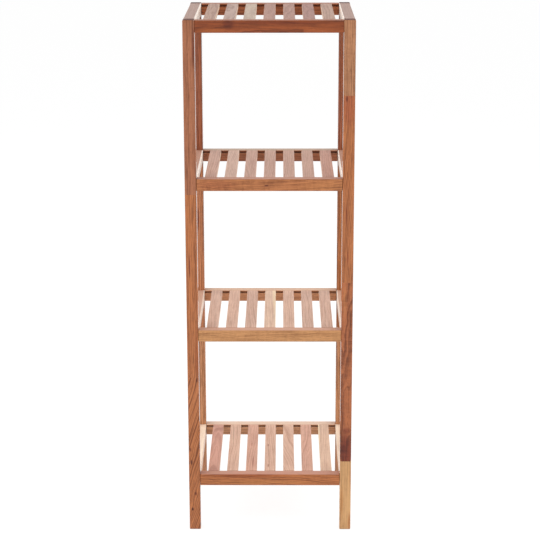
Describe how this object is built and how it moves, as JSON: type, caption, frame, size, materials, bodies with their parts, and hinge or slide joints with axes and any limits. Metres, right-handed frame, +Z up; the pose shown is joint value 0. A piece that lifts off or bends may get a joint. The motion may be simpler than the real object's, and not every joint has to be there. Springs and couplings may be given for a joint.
{
  "type": "open bathroom shelf unit",
  "caption": "Tall open shelf unit in oiled solid wood: square posts, ladder sides and slatted shelves, for towels and baskets.",
  "frame": {"origin": "on the floor, under the middle of the unit's width and depth", "axes": "+Z up along the posts, +X to the right across the width, +Y from the front to the back, so the front faces -Y"},
  "size_m": [0.348, 0.33, 1.1],
  "materials": {
    "post_wood": "oiled, satin, reddish brown with darker streaks",
    "rail_wood": "oiled, satin, from dark reddish brown to yellow tan",
    "side_rail_wood": "oiled, satin",
    "slat_wood": "oiled, satin, each slat its own tone from rose to cream",
    "zinc_plated_steel": "zinc plated"
  },
  "bodies": {
    "root": {"post_front_left": "post_wood", "post_front_right": "post_wood", "post_back_left": "post_wood", "post_back_right": "post_wood", "rail_front_bottom": "rail_wood", "rail_back_bottom": "rail_wood", "rail_front_lower": "rail_wood", "rail_back_lower": "rail_wood", "rail_front_upper": "rail_wood", "rail_back_upper": "rail_wood", "rail_front_top": "rail_wood", "rail_back_top": "rail_wood", "side_rail_left_bottom": "side_rail_wood", "side_rail_right_bottom": "side_rail_wood", "side_rail_left_lower": "side_rail_wood", "side_rail_right_lower": "side_rail_wood", "side_rail_left_upper": "side_rail_wood", "side_rail_right_upper": "side_rail_wood", "side_rail_left_top": "side_rail_wood", "side_rail_right_top": "side_rail_wood", "slat_bottom_1": "slat_wood", "slat_bottom_2": "slat_wood", "slat_bottom_3": "slat_wood", "slat_bottom_4": "slat_wood", "slat_bottom_5": "slat_wood", "slat_bottom_6": "slat_wood", "slat_bottom_7": "slat_wood", "slat_lower_1": "slat_wood", "slat_lower_2": "slat_wood", "slat_lower_3": "slat_wood", "slat_lower_4": "slat_wood", "slat_lower_5": "slat_wood", "slat_lower_6": "slat_wood", "slat_lower_7": "slat_wood", "slat_upper_1": "slat_wood", "slat_upper_2": "slat_wood", "slat_upper_3": "slat_wood", "slat_upper_4": "slat_wood", "slat_upper_5": "slat_wood", "slat_upper_6": "slat_wood", "slat_upper_7": "slat_wood", "slat_top_1": "slat_wood", "slat_top_2": "slat_wood", "slat_top_3": "slat_wood", "slat_top_4": "slat_wood", "slat_top_5": "slat_wood", "slat_top_6": "slat_wood", "slat_top_7": "slat_wood", "screw_front_left_bottom": "zinc_plated_steel", "screw_front_right_bottom": "zinc_plated_steel", "screw_back_left_bottom": "zinc_plated_steel", "screw_back_right_bottom": "zinc_plated_steel", "screw_front_left_top": "zinc_plated_steel", "screw_front_right_top": "zinc_plated_steel", "screw_back_left_top": "zinc_plated_steel", "screw_back_right_top": "zinc_plated_steel"}
  },
  "joints": []
}
